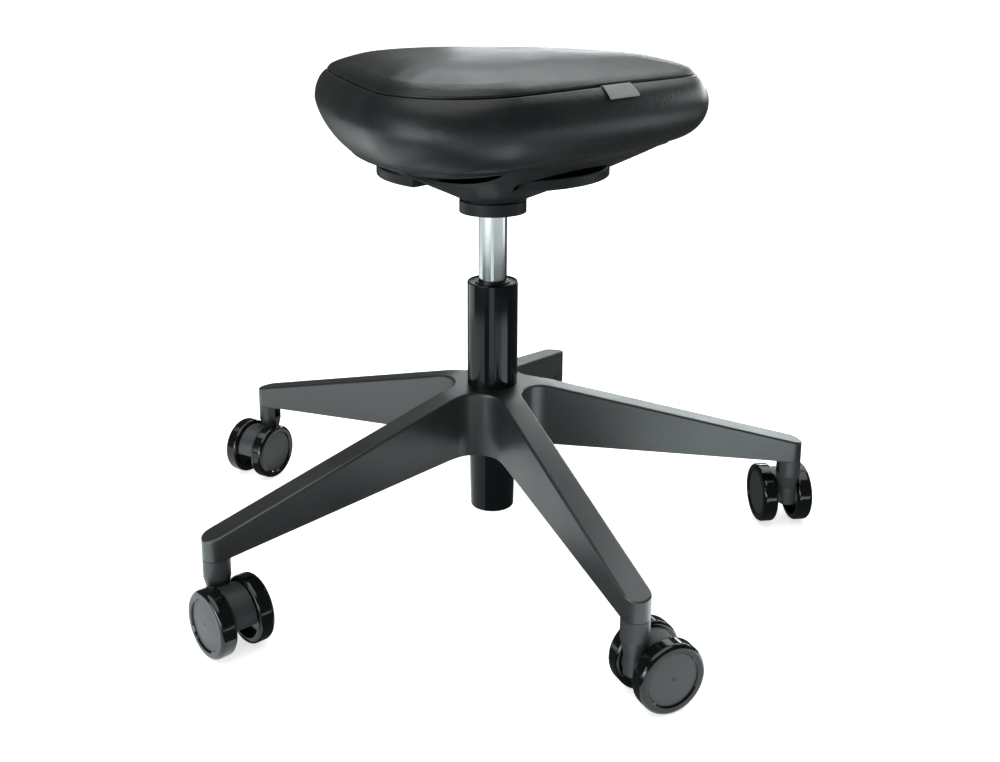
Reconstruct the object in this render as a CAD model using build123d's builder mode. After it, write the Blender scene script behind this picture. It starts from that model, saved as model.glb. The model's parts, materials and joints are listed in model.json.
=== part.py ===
"""Ergonomic stool: three-cornered seat, gas column, five-armed base and twin-wheel casters.

Millimetres, +Z up. The origin lies on the floor under the column's axis, and one arm of the base points along +Y.
"""
import math
import os

from build123d import *

# Casters
wheel_radius = 30.0
wheel_width = 15.3
caster_width = 52.0
caster_trail = 20.6
caster_turn = 93.6
tread_outer_round = 4.0
tread_inner_round = 3.0
rim_depth = 5.6
wheel_web = 4.0
wheel_web_inset = 6.5
wheel_hub_radius = 7.5
cap_radius = 22.3
cap_ledge = 1.8
cap_thickness = 1.6
cap_dome = 0.9
cap_recess = 1.6
cap_bevel = 1.0
axle_radius = 4.0
axle_end_gap = 0.6
drum_radius = 26.0
drum_skirt = 3.0
drum_clearance = 0.7
neck_waist_radius = 8.8
neck_shoulder = 17.0
neck_taper = 14.0
neck_foot = 2.0
stem_radius = 5.5
stem_floor = 8.0
stem_grip = 18.0
neck_window_width = 9.0
neck_window_height = 11.0
neck_window_top = 3.0

# Five-armed base
arm_count = 5
first_arm_angle = 90.0
arm_width = 24.0
swivel_circle_radius = 307.0
arm_lift = 17.0
arm_tip_height = 22.0
arm_bottom_rise = 25.0
hub_height = 64.0
hub_flat_radius = 50.0
hub_bottom_radius = 62.0
arm_plan_fillet = 26.0
hub_crown_round = 90.0
hub_arch_round = 60.0
base_edge_round = 2.0
base_wall = 3.4
base_roof = 4.5
hub_core_wall = 8.0
rib_count = 4
rib_thickness = 2.6

# Column
tube_radius = 25.0
tube_reach = 104.6
tube_foot = 68.0
tube_wall = 1.5
tube_floor = 4.0
tube_floor_inset = 4.0
tube_foot_round = 1.2
tube_mouth_round = 1.0
taper_angle = 1.4373
bush_length = 62.0
bush_inset = 1.2
bush_lip = 3.0
cylinder_radius = 14.0
cylinder_wall = 1.75
cylinder_show = 69.8
cone_length = 43.0
head_length = 40.0
lower_travel = 65.0
upper_travel = 60.0
gland_length = 12.0
piston_length = 10.0
rod_radius = 5.0
rod_stub_radius = 4.0
washer_radius = 15.0
washer_thickness = 2.0
ball_radius = 2.0
ball_count = 10
ball_circle_radius = 10.0
buffer_radius = 13.0
buffer_height = 14.0
clip_radius = 8.0
clip_thickness = 1.2
rod_tail = 0.8
release_pin_radius = 4.0
release_pin_stand = 8.0
release_pin_depth = 22.0

# Seat housing and release
seat_nose_angle = 272.0
collar_radius = 32.85
collar_height = 14.0
collar_groove_depth = 4.0
collar_groove_height = 2.4
housing_waist_rise = 28.0
housing_waist_corner = 117.0
housing_waist_side = 91.0
housing_waist_round = 48.0
housing_wall = 3.4
rim_rise = 47.1
rim_rake = 1.8
rim_corner_reach = 178.0
rim_side_reach = 132.0
rim_corner_round = 60.0
rim_inset = 1.6
socket_radius = 20.0
socket_boss_wall = 5.0
socket_flange_radius = 54.0
socket_flange_thickness = 4.0
ring_inner_radius = 80.0
ring_outer_radius = 90.0
ring_height = 8.0
grip_radius = 112.0
grip_drop = 2.5
grip_half_angle = 33.0
ring_rise = 38.5
ring_travel = 4.0
grip_edge_round = 1.5
window_margin_angle = 4.0
window_margin = 2.5
slot_centre_reach = 148.0
slot_length = 88.0
slot_width = 40.0
rocker_pivot_reach = 40.0
rocker_nose_radius = 3.0
rocker_bar_height = 5.0
rocker_width = 10.0
rocker_eye_radius = 5.5
rocker_pin_radius = 2.5
rocker_ear_thickness = 3.0
screw_reach = 130.0
screw_spread = 24.0
screw_radius = 2.5
screw_head_radius = 4.5
screw_head_height = 2.6
screw_boss_radius = 7.0
screw_boss_length = 7.0

# Seat
pan_thickness = 3.0
board_thickness = 8.0
board_inset = 12.0
seam_height = 132.0
seam_corner_reach = 203.0
seam_side_reach = 147.0
seam_corner_round = 80.0
bulge_height = 106.6
bulge_swell = 11.0
crown_rise = 21.5
cover_thickness = 2.5
crown_shares = (1.0, 0.87, 0.62, 0.30)
crown_rises = (0.0, 0.51, 0.86, 1.0)

# Clearances
run_clearance = 0.05
swivel_gap = 0.4
contact_gap = 0.3
ball_clearance = 0.02

# Heights that follow from the sizes above
arm_tip_bottom_z = 2 * wheel_radius + arm_lift
arm_tip_top_z = arm_tip_bottom_z + arm_tip_height
hub_bottom_z = arm_tip_bottom_z + arm_bottom_rise
hub_top_z = hub_bottom_z + hub_height
tube_top_z = hub_top_z + tube_reach
tube_bottom_z = hub_bottom_z - tube_foot
collar_bottom_z = tube_top_z + cylinder_show
collar_top_z = collar_bottom_z + collar_height
cone_top_z = collar_bottom_z + cone_length
rim_z = collar_top_z + rim_rise
ring_bottom_z = collar_bottom_z + ring_rise + grip_drop
ring_top_z = ring_bottom_z + ring_height
grip_bottom_z = ring_bottom_z - grip_drop
seam_z = collar_bottom_z + seam_height
bulge_z = collar_bottom_z + bulge_height

# Column stack, from the foot up
tube_floor_bottom_z = tube_bottom_z + tube_floor_inset
tube_floor_top_z = tube_floor_bottom_z + tube_floor
ball_bottom_z = tube_floor_top_z + washer_thickness
upper_washer_z = ball_bottom_z + 2 * ball_radius + ball_clearance
rod_shoulder_z = upper_washer_z + washer_thickness
cylinder_bottom_z = rod_shoulder_z + buffer_height + lower_travel + contact_gap
piston_bottom_z = cylinder_bottom_z + gland_length + upper_travel + contact_gap
piston_top_z = piston_bottom_z + piston_length
cylinder_bore = cylinder_radius - cylinder_wall
head_bottom_z = cone_top_z - head_length
taper_slope = math.tan(math.radians(taper_angle))
tube_bottom_radius = tube_radius - (hub_top_z - tube_bottom_z) * taper_slope
cone_top_radius = cylinder_radius - cone_length * taper_slope

# Wheel stations along the axle
wheel_inner_y = caster_width / 2 - wheel_width
drum_half_width = wheel_inner_y - drum_clearance
web_outer = wheel_web_inset + wheel_web
cap_seat = wheel_width - cap_recess - cap_thickness
axle_half_length = wheel_inner_y + cap_seat - axle_end_gap

# Directions of the seat's three corners and of the sides between them
corner_angles = [seat_nose_angle + 120 * k for k in range(3)]
side_angles = [angle + 60 for angle in corner_angles]
nose_plane = Plane(origin=(0, 0, 0)).rotated((0, 0, seat_nose_angle))
nose_heading = Vector(1, 0).rotate(Axis.Z, seat_nose_angle)
high_side = Vector(1, 0).rotate(Axis.Z, side_angles[0])
rake_normal = Vector(0, 0, 1).rotate(Axis((0, 0, 0), high_side.cross(Vector(0, 0, 1))), rim_rake)
rake_heading = nose_heading - rake_normal * nose_heading.dot(rake_normal)
rim_plane = Plane(origin=(0, 0, rim_z), x_dir=rake_heading, z_dir=rake_normal)


def rounded_triangle(plane, corner_reach, side_reach, corner_round):
    """Sketch a rounded triangle with bowed sides: three corner arcs, each tangent to two side arcs."""
    corner_centre = corner_reach - corner_round
    side_depth = side_reach - corner_round
    side_centre = (corner_centre**2 - side_depth**2) / (2 * side_depth - corner_centre)
    side_radius = side_reach + side_centre
    away = Vector(-side_centre / 2, -side_centre * math.sqrt(3) / 2)
    toward = (Vector(corner_centre, 0) - away).normalized()
    touch = away + toward * side_radius
    with BuildSketch(plane) as outline:
        with BuildLine():
            for k in range(3):
                start = Vector(touch.X, -touch.Y).rotate(Axis.Z, 120 * k)
                tip = Vector(corner_reach, 0).rotate(Axis.Z, 120 * k)
                end = Vector(touch.X, touch.Y).rotate(Axis.Z, 120 * k)
                middle = Vector(side_reach, 0).rotate(Axis.Z, 120 * k + 60)
                following = Vector(touch.X, -touch.Y).rotate(Axis.Z, 120 * k + 120)
                ThreePointArc(start, tip, end)
                ThreePointArc(end, middle, following)
        make_face()
    return outline.sketch


def split_circle(plane, radius, half_angle):
    """Sketch a circle cut into six arcs, so that it lofts cleanly to a rounded triangle."""
    with BuildSketch(plane) as outline:
        with BuildLine():
            for k in range(3):
                centre = 120 * k
                start = Vector(radius, 0).rotate(Axis.Z, centre - half_angle)
                tip = Vector(radius, 0).rotate(Axis.Z, centre)
                end = Vector(radius, 0).rotate(Axis.Z, centre + half_angle)
                middle = Vector(radius, 0).rotate(Axis.Z, centre + 60)
                following = Vector(radius, 0).rotate(Axis.Z, centre + 120 - half_angle)
                ThreePointArc(start, tip, end)
                ThreePointArc(end, middle, following)
        make_face()
    return outline.sketch


def ring_of(profile_points):
    """Turn a closed outline of (radius, height) points about the column's axis."""
    with BuildPart() as ring:
        with BuildSketch(Plane.XZ):
            with BuildLine():
                Polyline(*profile_points, close=True)
            make_face()
        revolve(axis=Axis.Z)
    return ring.part


# Envelope of the base: the outline that its top and underside follow when turned about the column
arm_reach = swivel_circle_radius + arm_width
top_slope = (hub_top_z - arm_tip_top_z) / (swivel_circle_radius - hub_flat_radius)
bottom_slope = (hub_bottom_z - arm_tip_bottom_z) / (swivel_circle_radius - hub_bottom_radius)


def base_envelope(drop):
    """Solid between the base's underside and its top surface lowered by the given drop."""
    end_bottom_z = hub_bottom_z - (arm_reach - hub_bottom_radius) * bottom_slope
    end_top_z = hub_top_z - drop - (arm_reach - hub_flat_radius) * top_slope
    with BuildPart() as envelope:
        with BuildSketch(Plane.XZ) as section:
            with BuildLine():
                Polyline(
                    (0, hub_bottom_z),
                    (hub_bottom_radius, hub_bottom_z),
                    (arm_reach, end_bottom_z),
                    (arm_reach, end_top_z),
                    (hub_flat_radius, hub_top_z - drop),
                    (0, hub_top_z - drop),
                    close=True,
                )
            make_face()
            fillet(section.vertices().sort_by_distance((hub_flat_radius, hub_top_z - drop))[0], hub_crown_round)
            fillet(section.vertices().sort_by_distance((hub_bottom_radius, hub_bottom_z))[0], hub_arch_round)
        revolve(axis=Axis.Z)
    return envelope.part


# Plan of the base: straight arms with half-round tips, blended into each other round the hub
with BuildSketch() as star_plan:
    with PolarLocations(swivel_circle_radius / 2, arm_count, start_angle=first_arm_angle):
        Rectangle(swivel_circle_radius, arm_width)
    with PolarLocations(swivel_circle_radius, arm_count, start_angle=first_arm_angle):
        Circle(arm_width / 2)
    fillet(star_plan.vertices().sort_by_distance((0, 0))[:arm_count], arm_plan_fillet)

# Hollow of the base, open below: the plan drawn in by the wall, less the hub's core, the tip bosses and the ribs
hub_core_radius = tube_radius + hub_core_wall
rib_pitch = (swivel_circle_radius - arm_width - hub_core_radius) / (rib_count + 1)
with BuildPart() as base_hollow:
    with BuildSketch() as hollow_plan:
        add(star_plan.sketch)
        offset(amount=-base_wall)
        Circle(hub_core_radius, mode=Mode.SUBTRACT)
        with PolarLocations(swivel_circle_radius, arm_count, start_angle=first_arm_angle):
            Circle(arm_width / 2, mode=Mode.SUBTRACT)
        for k in range(rib_count):
            with PolarLocations(hub_core_radius + rib_pitch * (k + 1), arm_count, start_angle=first_arm_angle):
                Rectangle(rib_thickness, arm_width, mode=Mode.SUBTRACT)
    extrude(amount=hub_top_z)
    add(base_envelope(base_roof), mode=Mode.INTERSECT)

# The base: plan and envelope together, hollowed, bored to the column's taper, faced and drilled for the casters
with BuildPart() as star_base:
    add(star_plan.sketch)
    extrude(amount=hub_top_z)
    add(base_envelope(0), mode=Mode.INTERSECT)
    crown_faces = star_base.faces().filter_by(lambda face: face.normal_at(face.center()).Z > 0.5)
    crown_edges = ShapeList(crown_faces.edges())
    rim_edges = crown_edges.filter_by(lambda edge: sum(edge.is_same(other) for other in crown_edges) == 1)
    fillet(rim_edges, base_edge_round)
    add(base_hollow.part, mode=Mode.SUBTRACT)
    with Locations((0, 0, tube_bottom_z)):
        Cone(
            tube_bottom_radius,
            tube_radius,
            hub_top_z - tube_bottom_z,
            align=(Align.CENTER, Align.CENTER, Align.MIN),
            mode=Mode.SUBTRACT,
        )
    with PolarLocations(swivel_circle_radius, arm_count, start_angle=first_arm_angle):
        Cylinder(
            arm_width / 2 + swivel_gap,
            arm_tip_bottom_z,
            align=(Align.CENTER, Align.CENTER, Align.MIN),
            mode=Mode.SUBTRACT,
        )
        Cylinder(
            stem_radius,
            arm_tip_bottom_z + stem_grip,
            align=(Align.CENTER, Align.CENTER, Align.MIN),
            mode=Mode.SUBTRACT,
        )

# Outer column tube: straight above the hub, tapered inside it, closed by a floor set up from its foot
floor_top_radius = tube_bottom_radius + (tube_floor_top_z - tube_bottom_z) * taper_slope - tube_wall
floor_bottom_radius = tube_bottom_radius + (tube_floor_bottom_z - tube_bottom_z) * taper_slope - tube_wall
with BuildPart() as stand_tube:
    with BuildSketch(Plane.XZ) as tube_section:
        with BuildLine():
            Polyline(
                (tube_bottom_radius - tube_wall, tube_bottom_z),
                (tube_bottom_radius, tube_bottom_z),
                (tube_radius, hub_top_z),
                (tube_radius, tube_top_z),
                (tube_radius - tube_wall, tube_top_z),
                (tube_radius - tube_wall, hub_top_z),
                (floor_top_radius, tube_floor_top_z),
                (rod_stub_radius + run_clearance, tube_floor_top_z),
                (rod_stub_radius + run_clearance, tube_floor_bottom_z),
                (floor_bottom_radius, tube_floor_bottom_z),
                close=True,
            )
        make_face()
        fillet(tube_section.vertices().sort_by_distance((tube_radius, tube_top_z))[0], tube_mouth_round)
        fillet(tube_section.vertices().sort_by_distance((tube_bottom_radius, tube_bottom_z))[0], tube_foot_round)
    revolve(axis=Axis.Z)

# Guide bush in the tube's mouth, with a lip round the cylinder
bush_top_z = tube_top_z - bush_inset
with BuildPart() as guide_bush:
    add(
        ring_of(
            [
                (cylinder_radius + run_clearance, bush_top_z - bush_length),
                (tube_radius - tube_wall, bush_top_z - bush_length),
                (tube_radius - tube_wall, bush_top_z),
                (cylinder_radius + bush_lip, bush_top_z),
                (cylinder_radius + bush_lip, tube_top_z),
                (cylinder_radius + run_clearance, tube_top_z),
            ]
        )
    )

# Thrust bearing: the lower washer and balls stay with the tube, the upper washer turns with the rod
with BuildPart() as bearing_lower_washer:
    with Locations((0, 0, tube_floor_top_z)):
        Cylinder(washer_radius, washer_thickness, align=(Align.CENTER, Align.CENTER, Align.MIN))
        Hole(rod_stub_radius + run_clearance)
with BuildPart() as bearing_balls:
    with Locations((0, 0, ball_bottom_z + ball_radius)):
        with PolarLocations(ball_circle_radius, ball_count):
            Sphere(ball_radius)
with BuildPart() as bearing_upper_washer:
    with Locations((0, 0, upper_washer_z)):
        Cylinder(washer_radius, washer_thickness, align=(Align.CENTER, Align.CENTER, Align.MIN))
        Hole(rod_stub_radius)

# Rod with a thinner stub through the tube's floor, its piston, buffer and clip
with BuildPart() as piston_rod:
    add(
        ring_of(
            [
                (0, tube_floor_bottom_z - clip_thickness - rod_tail),
                (rod_stub_radius, tube_floor_bottom_z - clip_thickness - rod_tail),
                (rod_stub_radius, rod_shoulder_z),
                (rod_radius, rod_shoulder_z),
                (rod_radius, piston_top_z),
                (0, piston_top_z),
            ]
        )
    )
with BuildPart() as piston:
    with Locations((0, 0, piston_bottom_z)):
        Cylinder(cylinder_bore - run_clearance, piston_length, align=(Align.CENTER, Align.CENTER, Align.MIN))
        Hole(rod_radius)
with BuildPart() as rubber_buffer:
    with Locations((0, 0, rod_shoulder_z)):
        Cylinder(buffer_radius, buffer_height, align=(Align.CENTER, Align.CENTER, Align.MIN))
        Hole(rod_radius)
with BuildPart() as retaining_clip:
    with Locations((0, 0, tube_floor_bottom_z - clip_thickness - contact_gap)):
        Cylinder(clip_radius, clip_thickness, align=(Align.CENTER, Align.CENTER, Align.MIN))
        Hole(rod_stub_radius)

# Cylinder with its cone and the bore of the release pin, and the gland that closes its foot
pin_bore_bottom_z = cone_top_z - release_pin_depth - ring_travel
with BuildPart() as pressure_cylinder:
    add(
        ring_of(
            [
                (cylinder_bore, cylinder_bottom_z),
                (cylinder_radius, cylinder_bottom_z),
                (cylinder_radius, collar_bottom_z),
                (cone_top_radius, cone_top_z),
                (release_pin_radius + run_clearance, cone_top_z),
                (release_pin_radius + run_clearance, pin_bore_bottom_z),
                (0, pin_bore_bottom_z),
                (0, head_bottom_z),
                (cylinder_bore, head_bottom_z),
            ]
        )
    )
with BuildPart() as cylinder_gland:
    with Locations((0, 0, cylinder_bottom_z)):
        Cylinder(cylinder_bore, gland_length, align=(Align.CENTER, Align.CENTER, Align.MIN))
        Hole(rod_radius + run_clearance)
with BuildPart() as release_pin:
    with Locations((0, 0, cone_top_z - release_pin_depth)):
        Cylinder(
            release_pin_radius,
            release_pin_depth + release_pin_stand,
            align=(Align.CENTER, Align.CENTER, Align.MIN),
        )
    fillet(release_pin.edges().sort_by(Axis.Z)[-1], release_pin_radius / 4)

# Seat housing: collar, then a funnel that grows from a circle to the rim's three corners, hollow above
waist_z = collar_top_z + housing_waist_rise
foot_split = math.degrees(math.atan2(rim_corner_round, rim_corner_reach - rim_corner_round))


def funnel(lift):
    """Solid of the funnel from the collar to the rim, raised by the given lift."""
    foot = split_circle(nose_plane.offset(collar_top_z + lift), collar_radius, foot_split)
    waist = rounded_triangle(
        nose_plane.offset(waist_z + lift), housing_waist_corner, housing_waist_side, housing_waist_round
    )
    rim = rounded_triangle(
        rim_plane.offset(lift),
        rim_corner_reach - rim_inset,
        rim_side_reach - rim_inset,
        rim_corner_round - rim_inset,
    )
    with BuildPart() as body:
        loft(sections=[foot, waist, rim])
    return body.part


boss_radius = socket_radius + socket_boss_wall
flange_bottom_z = cone_top_z - socket_flange_thickness
window_inner_radius = ring_inner_radius - window_margin
window_outer_radius = grip_radius + window_margin
window_half_angle = grip_half_angle + window_margin_angle

# Grip windows: three ring sectors through the funnel's sides
with BuildPart() as grip_windows:
    with BuildSketch(Plane.XY.offset(collar_top_z)):
        for angle in side_angles:
            with BuildLine():
                inner = CenterArc((0, 0), window_inner_radius, angle - window_half_angle, 2 * window_half_angle)
                outer = CenterArc((0, 0), window_outer_radius, angle - window_half_angle, 2 * window_half_angle)
                Line(inner @ 0, outer @ 0)
                Line(inner @ 1, outer @ 1)
            make_face()
    extrude(amount=2 * rim_rise)

# Finger slots: one leaf across each corner of the funnel
with BuildPart() as finger_slots:
    with BuildSketch(Plane.XY.offset(collar_top_z)):
        with PolarLocations(slot_centre_reach, 3, start_angle=seat_nose_angle):
            Ellipse(slot_width / 2, slot_length / 2)
    extrude(amount=2 * rim_rise)

# Places of the screws that hold the pan, two beside each corner
screw_angles = [120 * k + side * screw_spread for k in range(3) for side in (-1, 1)]
screw_points = [Vector(screw_reach, 0).rotate(Axis.Z, angle) for angle in screw_angles]

with BuildPart() as housing_shell:
    add(funnel(0))
    add(funnel(housing_wall), mode=Mode.SUBTRACT)
    with Locations((0, 0, collar_bottom_z)):
        Cylinder(collar_radius, collar_height, align=(Align.CENTER, Align.CENTER, Align.MIN))
        Cylinder(
            boss_radius,
            flange_bottom_z - collar_bottom_z,
            align=(Align.CENTER, Align.CENTER, Align.MIN),
        )
        Cylinder(
            socket_radius,
            flange_bottom_z - collar_bottom_z,
            align=(Align.CENTER, Align.CENTER, Align.MIN),
            mode=Mode.SUBTRACT,
        )
    with BuildSketch(nose_plane.offset(collar_top_z - collar_groove_height)):
        Circle(collar_radius + collar_groove_depth)
        with Locations((-collar_groove_depth, 0)):
            Circle(collar_radius, mode=Mode.SUBTRACT)
    extrude(amount=collar_groove_height, mode=Mode.SUBTRACT)
    add(grip_windows.part, mode=Mode.SUBTRACT)
    add(finger_slots.part, mode=Mode.SUBTRACT)

# Bosses under the pan that the screws bite into, cut to the funnel's inside
with BuildPart() as screw_bosses:
    with BuildSketch(rim_plane):
        with Locations(*screw_points):
            Circle(screw_boss_radius)
    extrude(amount=-screw_boss_length)
    add(funnel(0), mode=Mode.INTERSECT)

with BuildPart() as seat_housing:
    add(housing_shell.part)
    add(screw_bosses.part)
    with BuildSketch(rim_plane):
        with Locations(*screw_points):
            Circle(screw_radius)
    extrude(amount=-screw_boss_length, mode=Mode.SUBTRACT)

# Taper socket: sleeve, flange and the two ears of the release rocker
pin_top_z = cone_top_z + release_pin_stand
rocker_pivot_z = pin_top_z + contact_gap + rocker_nose_radius
rocker_toe_reach = (ring_inner_radius + ring_outer_radius) / 2
ear_offset = rocker_width / 2 + contact_gap
rocker_plane = Plane.XZ.rotated((0, 0, seat_nose_angle))
with BuildPart() as taper_socket:
    add(
        ring_of(
            [
                (cylinder_radius, collar_bottom_z),
                (socket_radius, collar_bottom_z),
                (socket_radius, flange_bottom_z),
                (socket_flange_radius, flange_bottom_z),
                (socket_flange_radius, cone_top_z),
                (cone_top_radius, cone_top_z),
            ]
        )
    )
    for side in (-1, 1):
        with BuildSketch(rocker_plane.offset(side * (ear_offset + rocker_ear_thickness / 2))):
            with Locations((rocker_pivot_reach, rocker_pivot_z)):
                Circle(rocker_eye_radius)
            with Locations((rocker_pivot_reach, cone_top_z)):
                Rectangle(
                    2 * rocker_eye_radius,
                    rocker_pivot_z - cone_top_z,
                    align=(Align.CENTER, Align.MIN),
                )
            with Locations((rocker_pivot_reach, rocker_pivot_z)):
                Circle(rocker_pin_radius, mode=Mode.SUBTRACT)
        extrude(amount=rocker_ear_thickness / 2, both=True)

# Release ring with a deeper grip behind each side window
grip_root_radius = (ring_inner_radius + ring_outer_radius) / 2
with BuildPart() as release_ring:
    with BuildSketch(Plane.XY.offset(ring_bottom_z)):
        Circle(ring_outer_radius)
        Circle(ring_inner_radius, mode=Mode.SUBTRACT)
    extrude(amount=ring_height)
    with BuildSketch(Plane.XY.offset(grip_bottom_z)):
        for angle in side_angles:
            with BuildLine():
                inner = CenterArc((0, 0), grip_root_radius, angle - grip_half_angle, 2 * grip_half_angle)
                outer = CenterArc((0, 0), grip_radius, angle - grip_half_angle, 2 * grip_half_angle)
                Line(inner @ 0, outer @ 0)
                Line(inner @ 1, outer @ 1)
            make_face()
    extrude(amount=ring_top_z - grip_bottom_z)
    grip_edges = release_ring.edges().filter_by(GeomType.CIRCLE)
    fillet(grip_edges.filter_by(lambda edge: abs(edge.radius - grip_radius) < run_clearance), grip_edge_round)

# Release rocker: an eye on the pin, a nose over the release pin and a toe over the ring
toe_z = ring_top_z + contact_gap + rocker_nose_radius
bar_end_z = toe_z + rocker_bar_height / 2


def link(first, first_radius, second, second_radius):
    """Sketch the outline that wraps two circles, in the rocker's upright plane."""
    with BuildSketch(rocker_plane) as outline:
        with Locations(first):
            Circle(first_radius)
        with Locations(second):
            Circle(second_radius)
        make_hull()
    return outline.sketch


rocker_nose = (0, rocker_pivot_z)
rocker_eye = (rocker_pivot_reach, rocker_pivot_z)
rocker_end = (rocker_toe_reach, bar_end_z)
rocker_toe = (rocker_toe_reach, toe_z)
with BuildPart() as release_rocker:
    inner_arm = link(rocker_nose, rocker_nose_radius, rocker_eye, rocker_eye_radius)
    outer_arm = link(rocker_eye, rocker_eye_radius, rocker_end, rocker_bar_height / 2)
    toe = link(rocker_end, rocker_bar_height / 2, rocker_toe, rocker_nose_radius)
    extrude(inner_arm, amount=rocker_width / 2, both=True)
    extrude(outer_arm, amount=rocker_width / 2, both=True)
    extrude(toe, amount=rocker_width / 2, both=True)
    with BuildSketch(rocker_plane):
        with Locations(rocker_eye):
            Circle(rocker_pin_radius + run_clearance)
    extrude(amount=rocker_width, both=True, mode=Mode.SUBTRACT)
with BuildPart() as rocker_pin:
    with BuildSketch(rocker_plane):
        with Locations(rocker_eye):
            Circle(rocker_pin_radius)
    extrude(amount=ear_offset + rocker_ear_thickness, both=True)

# Seat pan on the raked rim, the board on it, and the screws through the pan into the housing
with BuildPart() as seat_pan:
    add(rounded_triangle(rim_plane, rim_corner_reach, rim_side_reach, rim_corner_round))
    extrude(amount=pan_thickness)
    with BuildSketch(rim_plane):
        with Locations(*screw_points):
            Circle(screw_radius)
    extrude(amount=pan_thickness, mode=Mode.SUBTRACT)
board_plane = rim_plane.offset(pan_thickness)
board_outline = rounded_triangle(
    board_plane,
    rim_corner_reach - board_inset,
    rim_side_reach - board_inset,
    rim_corner_round - board_inset,
)
with BuildPart() as seat_board:
    add(board_outline)
    extrude(amount=board_thickness)
    with BuildSketch(board_plane):
        with Locations(*screw_points):
            Circle(screw_head_radius + contact_gap)
    extrude(amount=board_thickness, mode=Mode.SUBTRACT)
with BuildPart() as pan_screws:
    with BuildSketch(board_plane):
        with Locations(*screw_points):
            Circle(screw_head_radius)
    extrude(amount=screw_head_height)
    with BuildSketch(board_plane):
        with Locations(*screw_points):
            Circle(screw_radius)
    extrude(amount=-(pan_thickness + screw_boss_length - contact_gap))


def cushion_side(inset):
    """Solid of the cushion below its seam: from the pan's outline out to the bulge and back to the seam."""
    foot = rounded_triangle(
        board_plane, rim_corner_reach - inset, rim_side_reach - inset, rim_corner_round - inset
    )
    swell = bulge_swell - inset
    bulge = rounded_triangle(
        nose_plane.offset(bulge_z),
        seam_corner_reach + swell,
        seam_side_reach + swell,
        seam_corner_round + swell,
    )
    seam = rounded_triangle(
        nose_plane.offset(seam_z),
        seam_corner_reach - inset,
        seam_side_reach - inset,
        seam_corner_round - inset,
    )
    with BuildPart() as body:
        loft(sections=[foot, bulge, seam])
    return body.part


def cushion_crown(inset):
    """Solid of the cushion above its seam: a low dome of shrinking outlines."""
    outlines = [
        rounded_triangle(
            nose_plane.offset(seam_z + (crown_rise - inset) * rise),
            (seam_corner_reach - inset) * share,
            (seam_side_reach - inset) * share,
            (seam_corner_round - inset) * share,
        )
        for share, rise in zip(crown_shares, crown_rises)
    ]
    with BuildPart() as body:
        loft(sections=outlines)
    return body.part


# Cushion: foam core on the board, a cover band round its sides and a cover panel on top
with BuildPart() as foam_core:
    add(cushion_side(cover_thickness))
    add(cushion_crown(cover_thickness))
    add(board_outline)
    extrude(amount=board_thickness, mode=Mode.SUBTRACT)
with BuildPart() as side_band:
    add(cushion_side(0))
    add(cushion_side(cover_thickness), mode=Mode.SUBTRACT)
with BuildPart() as top_panel:
    add(cushion_crown(0))
    add(cushion_crown(cover_thickness), mode=Mode.SUBTRACT)

# Caster pieces, drawn with the swivel axis on Z and the axle trailing along +X
neck_top_z = arm_tip_bottom_z - swivel_gap
neck_shoulder_z = neck_top_z - neck_shoulder
neck_waist_z = neck_shoulder_z - neck_taper
neck_foot_z = wheel_radius - neck_foot
stem_bottom_z = neck_foot_z + stem_floor
with BuildPart() as caster_body:
    with BuildSketch(Plane.XZ):
        with BuildLine():
            Polyline(
                (0, neck_foot_z),
                (neck_waist_radius, neck_foot_z),
                (neck_waist_radius, neck_waist_z),
                (arm_width / 2, neck_shoulder_z),
                (arm_width / 2, neck_top_z),
                (0, neck_top_z),
                close=True,
            )
        make_face()
    revolve(axis=Axis.Z)
    with BuildSketch(Plane.XZ):
        with Locations((caster_trail, wheel_radius)):
            Circle(drum_radius)
            Rectangle(
                2 * drum_radius,
                drum_radius,
                align=(Align.CENTER, Align.MAX),
                mode=Mode.SUBTRACT,
            )
        with Locations((caster_trail, wheel_radius)):
            Circle(axle_radius + drum_skirt)
    extrude(amount=drum_half_width, both=True)
    with BuildSketch(Plane.XZ):
        with Locations((caster_trail, wheel_radius)):
            Circle(axle_radius)
    extrude(amount=caster_width, both=True, mode=Mode.SUBTRACT)
    with Locations((0, 0, stem_bottom_z - contact_gap)):
        Cylinder(
            stem_radius + run_clearance,
            neck_top_z,
            align=(Align.CENTER, Align.CENTER, Align.MIN),
            mode=Mode.SUBTRACT,
        )
    with Locations((0, 0, neck_top_z - neck_window_top)):
        Box(
            neck_window_width,
            arm_width,
            neck_window_height,
            align=(Align.CENTER, Align.MIN, Align.MAX),
            mode=Mode.SUBTRACT,
        )
with BuildPart() as caster_axle:
    with BuildSketch(Plane.XZ):
        with Locations((caster_trail, wheel_radius)):
            Circle(axle_radius)
    extrude(amount=axle_half_length, both=True)

# Wheel and cap, turned about the axle; the section runs from the inner face out along +Y
with BuildPart() as wheel:
    with BuildSketch() as wheel_section:
        with BuildLine():
            Polyline(
                (axle_radius + run_clearance, contact_gap),
                (wheel_hub_radius, contact_gap),
                (wheel_hub_radius, wheel_web_inset),
                (wheel_radius - rim_depth, wheel_web_inset),
                (wheel_radius - rim_depth, 0),
                (wheel_radius, 0),
                (wheel_radius, wheel_width),
                (cap_radius + cap_bevel, wheel_width),
                (cap_radius, wheel_width - cap_bevel),
                (cap_radius, cap_seat),
                (cap_radius - cap_ledge, cap_seat),
                (cap_radius - cap_ledge, web_outer),
                (axle_radius + run_clearance, web_outer),
                close=True,
            )
        make_face()
        fillet(wheel_section.vertices().sort_by_distance((wheel_radius, wheel_width))[0], tread_outer_round)
        fillet(wheel_section.vertices().sort_by_distance((wheel_radius, 0))[0], tread_inner_round)
    revolve(axis=Axis.Y)
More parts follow.
